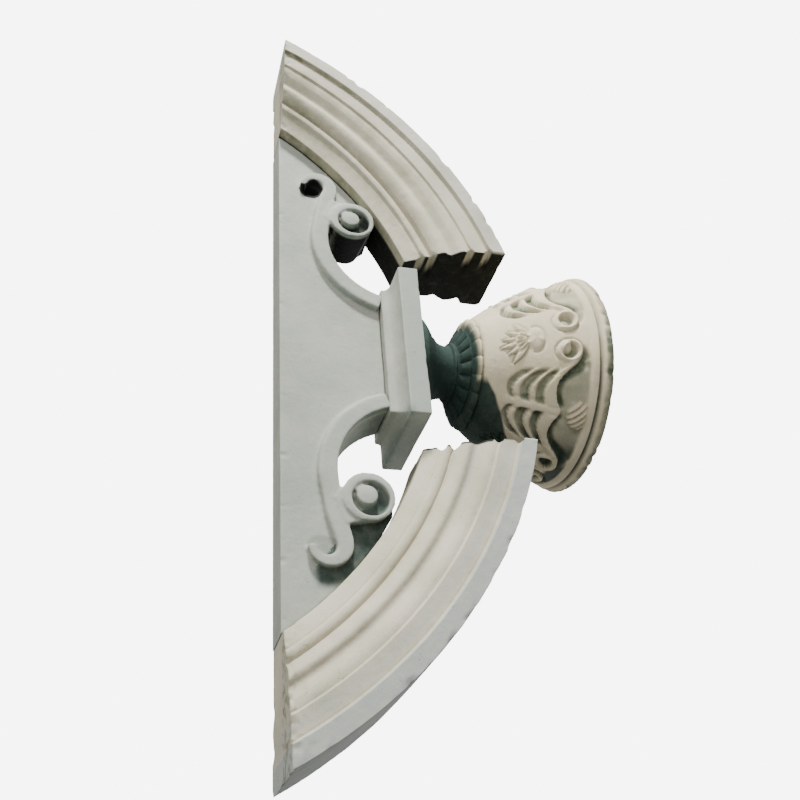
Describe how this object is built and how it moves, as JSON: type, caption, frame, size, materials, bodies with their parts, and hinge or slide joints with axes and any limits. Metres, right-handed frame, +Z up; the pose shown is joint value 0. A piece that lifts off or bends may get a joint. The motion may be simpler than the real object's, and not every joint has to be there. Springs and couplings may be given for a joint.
{
  "type": "broken segmental pediment",
  "caption": "Carved stone broken segmental pediment: two curved moulded cornices, a scrolled tympanum panel, a pedestal cap and a leaf-carved open urn.",
  "frame": {"origin": "middle of the bounding box of the pediment at its flat underside", "axes": "+Z up, +X to the right along the span, front towards -Y"},
  "size_m": [1.774, 0.494, 0.6706],
  "materials": {
    "cornice_stone": "rubbed",
    "panel_stone": "rubbed",
    "urn_stone": "carved"
  },
  "bodies": {
    "root": {"left_raking_cornice": "cornice_stone", "right_raking_cornice": "cornice_stone", "tympanum_panel": "panel_stone", "pedestal_cap": "panel_stone", "urn": "urn_stone"}
  },
  "joints": []
}
